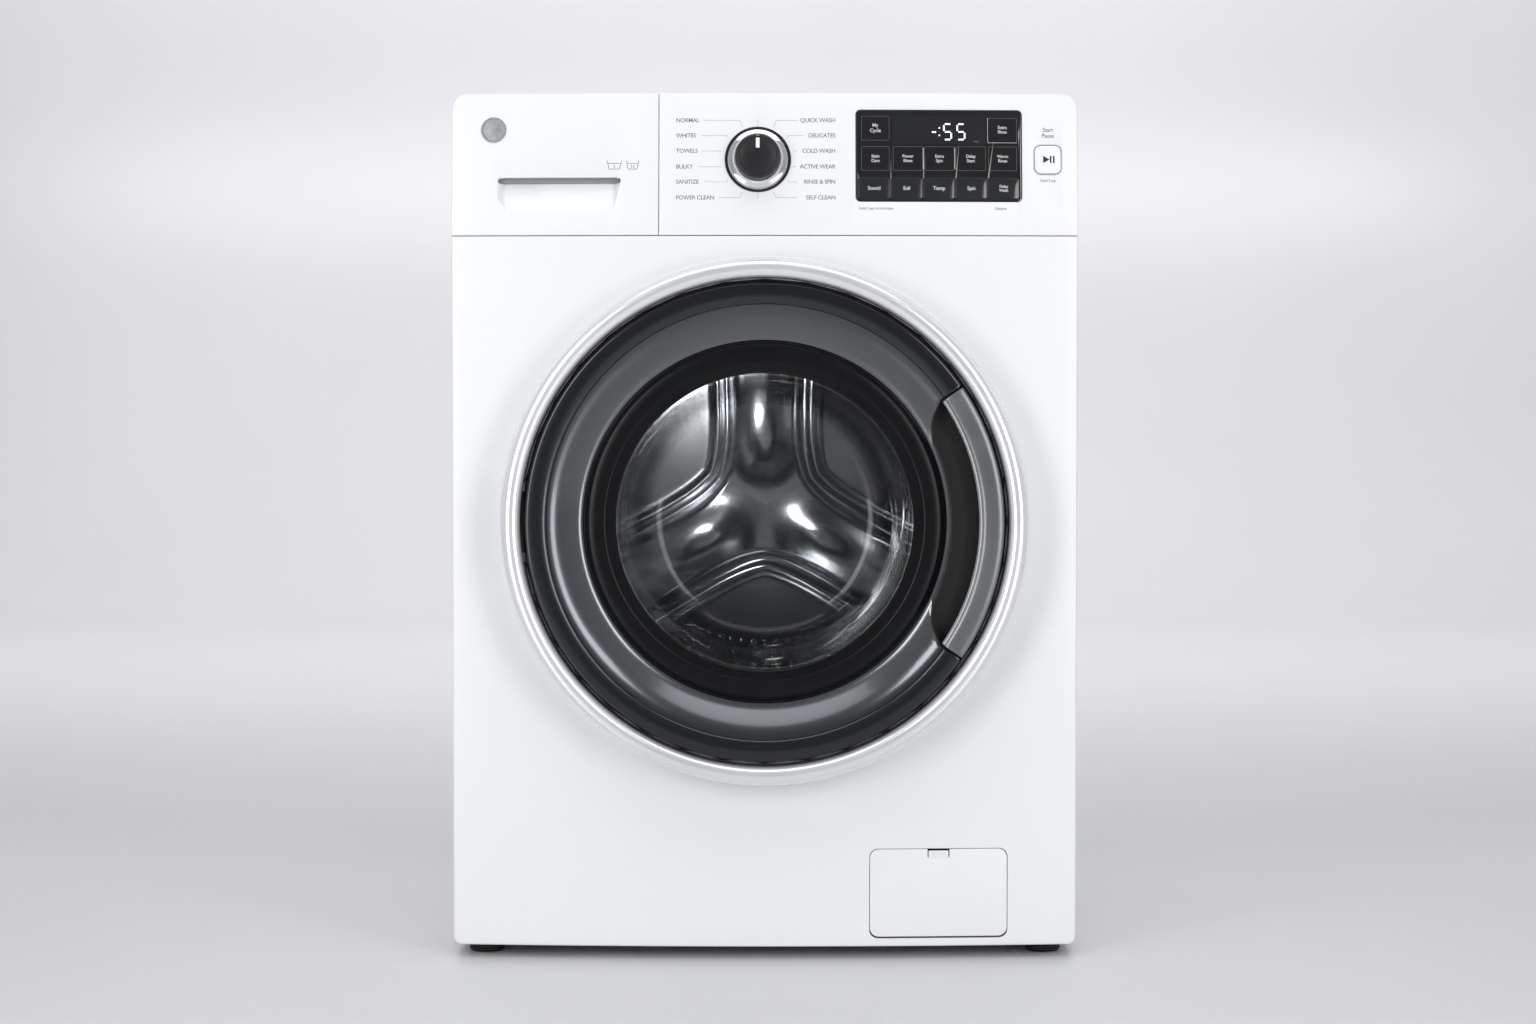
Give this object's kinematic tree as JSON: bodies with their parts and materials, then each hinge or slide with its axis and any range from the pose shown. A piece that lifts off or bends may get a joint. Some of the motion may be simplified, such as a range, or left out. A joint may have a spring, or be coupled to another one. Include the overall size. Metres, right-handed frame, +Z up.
{
  "type": "front load washing machine",
  "caption": "White freestanding front load washer with a round chrome-ringed door, program knob, dark display panel and dispenser drawer.",
  "frame": {"origin": "on the floor, under the middle of the whole machine's box", "axes": "+Z up, -Y out of the front with the door, +X to the right when facing the front"},
  "size_m": [0.6, 0.625, 0.83],
  "materials": {
    "white_paint": "white enamel on steel",
    "white_plastic": "moulded white ABS",
    "top_white": "white moulded top",
    "chrome_trim": "polished",
    "smoked_trim": "smoked plating",
    "black_plastic": "fine moulded texture",
    "black_gloss": "gloss",
    "satin_grey": "satin",
    "knob_black": "gloss with a plated skirt",
    "seal_rubber": "matte",
    "black_rubber": "matte",
    "door_glass": "clear",
    "stainless": "brushed",
    "lifter_plastic": "satin",
    "galvanised": "zinc coated",
    "steel": "satin",
    "cast_aluminium": "as cast",
    "concrete": "cast concrete",
    "tub_plastic": "filled polypropylene",
    "grey_plastic": "moulded"
  },
  "bodies": {
    "cabinet": {"left_side_panel": "white_paint", "right_side_panel": "white_paint", "rear_panel": "galvanised", "rear_access_cover": "galvanised", "base_tray": "galvanised", "front_panel": "white_paint", "top_panel": "top_white", "control_fascia": "white_plastic", "display_module": "black_gloss", "dispenser_housing": "tub_plastic", "inlet_valve": "grey_plastic", "door_seal": "seal_rubber", "door_lock": "black_plastic", "hinge_bracket": "steel", "damper_cylinder_left": "grey_plastic", "damper_cylinder_right": "grey_plastic", "spring_left": "steel", "spring_right": "steel", "drain_pump": "grey_plastic", "sump_hose": "black_rubber", "dispenser_hose": "black_rubber"},
    "washing_group": {"tub_front": "tub_plastic", "tub_rear": "tub_plastic", "upper_counterweight": "concrete", "front_counterweight": "concrete", "motor": "steel", "drive_belt": "black_rubber", "heater": "stainless", "damper_rod_left": "steel", "damper_rod_right": "steel", "bearing_front": "steel", "bearing_rear": "steel"},
    "drum_group": {"drum": "stainless", "lifter_1": "lifter_plastic", "lifter_2": "lifter_plastic", "lifter_3": "lifter_plastic", "drum_spider": "cast_aluminium", "drum_pulley": "cast_aluminium"},
    "motor_rotor": {"motor_pulley": "steel"},
    "door": {"door_outer_ring": "chrome_trim", "door_trim_ring": "smoked_trim", "door_glass": "door_glass", "door_inner_frame": "black_plastic"},
    "handle": {"door_handle": "satin_grey"},
    "latch": {"latch_hook": "steel"},
    "drawer": {"drawer_front": "white_plastic", "drawer_tray": "grey_plastic"},
    "knob": {"program_knob": "knob_black"},
    "start": {"start_button": "white_plastic"},
    "flap": {"filter_flap": "white_plastic"},
    "filter": {"pump_filter": "grey_plastic"},
    "key_1": {"option_key_1": "black_gloss"},
    "key_2": {"option_key_2": "black_gloss"},
    "key_3": {"option_key_3": "black_gloss"},
    "key_4": {"option_key_4": "black_gloss"},
    "key_5": {"option_key_5": "black_gloss"},
    "level_foot_1": {"foot_1": "black_rubber"},
    "level_foot_2": {"foot_2": "black_rubber"},
    "level_foot_3": {"foot_3": "black_rubber"},
    "level_foot_4": {"foot_4": "black_rubber"}
  },
  "joints": [
    {"name": "door_hinge", "type": "hinge", "parent": "cabinet", "child": "door", "pos_m": [-0.238, -0.288, 0.421], "axis": [0, 0, -1], "range_deg": [0, 110]},
    {"name": "handle_pull", "type": "hinge", "parent": "door", "child": "handle", "pos_m": [0.221, -0.288, 0.421], "axis": [0, 0, 1], "range_deg": [0, 10], "stiffness_Nm_per_rad": 2},
    {"name": "latch_turn", "type": "hinge", "parent": "door", "child": "latch", "pos_m": [0.21285, -0.273, 0.421], "axis": [0, 0, 1], "range_deg": [-10, 0]},
    {"name": "drawer_slide", "type": "slide", "parent": "cabinet", "child": "drawer", "axis": [0, -1, 0], "range_m": [0, 0.22]},
    {"name": "knob_turn", "type": "hinge", "parent": "cabinet", "child": "knob", "pos_m": [-0.0065, -0.25859, 0.766], "axis": [-0.0022, -0.9925, 0.1219], "continuous": true},
    {"name": "start_press", "type": "slide", "parent": "cabinet", "child": "start", "axis": [-0.0893, 0.9885, -0.1219], "range_m": [0, 0.0015], "stiffness_N_per_m": 800},
    {"name": "key_1_press", "type": "slide", "parent": "cabinet", "child": "key_1", "axis": [-0.0346, 0.9919, -0.1219], "range_m": [0, 0.001], "stiffness_N_per_m": 800},
    {"name": "key_2_press", "type": "slide", "parent": "cabinet", "child": "key_2", "axis": [-0.0448, 0.9915, -0.1219], "range_m": [0, 0.001], "stiffness_N_per_m": 800},
    {"name": "key_3_press", "type": "slide", "parent": "cabinet", "child": "key_3", "axis": [-0.055, 0.991, -0.1219], "range_m": [0, 0.001], "stiffness_N_per_m": 800},
    {"name": "key_4_press", "type": "slide", "parent": "cabinet", "child": "key_4", "axis": [-0.0652, 0.9904, -0.1219], "range_m": [0, 0.001], "stiffness_N_per_m": 800},
    {"name": "key_5_press", "type": "slide", "parent": "cabinet", "child": "key_5", "axis": [-0.0754, 0.9897, -0.1219], "range_m": [0, 0.001], "stiffness_N_per_m": 800},
    {"name": "flap_hinge", "type": "hinge", "parent": "cabinet", "child": "flap", "pos_m": [0.167, -0.2612, 0.0241], "axis": [0.9985, 0.0556, 0], "range_deg": [0, 85]},
    {"name": "filter_turn", "type": "hinge", "parent": "cabinet", "child": "filter", "pos_m": [0.167, -0.2, 0.063], "axis": [0, -1, 0], "range_deg": [-180, 0]},
    {"name": "tub_float", "type": "slide", "parent": "cabinet", "child": "washing_group", "axis": [0, 0, 1], "range_m": [-0.012, 0.012], "stiffness_N_per_m": 20000, "springref_m": 0.0198, "deforming": ["door_seal", "spring_left", "spring_right", "sump_hose", "dispenser_hose"]},
    {"name": "drum_spin", "type": "hinge", "parent": "washing_group", "child": "drum_group", "pos_m": [0, 0, 0.421], "axis": [0, 1, 0], "continuous": true},
    {"name": "motor_spin", "type": "hinge", "parent": "washing_group", "child": "motor_rotor", "pos_m": [0, 0, 0.097], "axis": [0, 1, 0], "continuous": true},
    {"name": "foot_1_turn", "type": "hinge", "parent": "cabinet", "child": "level_foot_1", "pos_m": [-0.271, -0.2105, 0.005], "axis": [0, 0, 1], "continuous": true},
    {"name": "foot_2_turn", "type": "hinge", "parent": "cabinet", "child": "level_foot_2", "pos_m": [0.271, -0.2105, 0.005], "axis": [0, 0, 1], "continuous": true},
    {"name": "foot_3_turn", "type": "hinge", "parent": "cabinet", "child": "level_foot_3", "pos_m": [-0.271, 0.2575, 0.005], "axis": [0, 0, 1], "continuous": true},
    {"name": "foot_4_turn", "type": "hinge", "parent": "cabinet", "child": "level_foot_4", "pos_m": [0.271, 0.2575, 0.005], "axis": [0, 0, 1], "continuous": true}
  ],
  "couplings": [
    {"joint": "latch_turn", "follows": "handle_pull", "ratio": -1},
    {"joint": "motor_spin", "follows": "drum_spin", "ratio": 10}
  ]
}
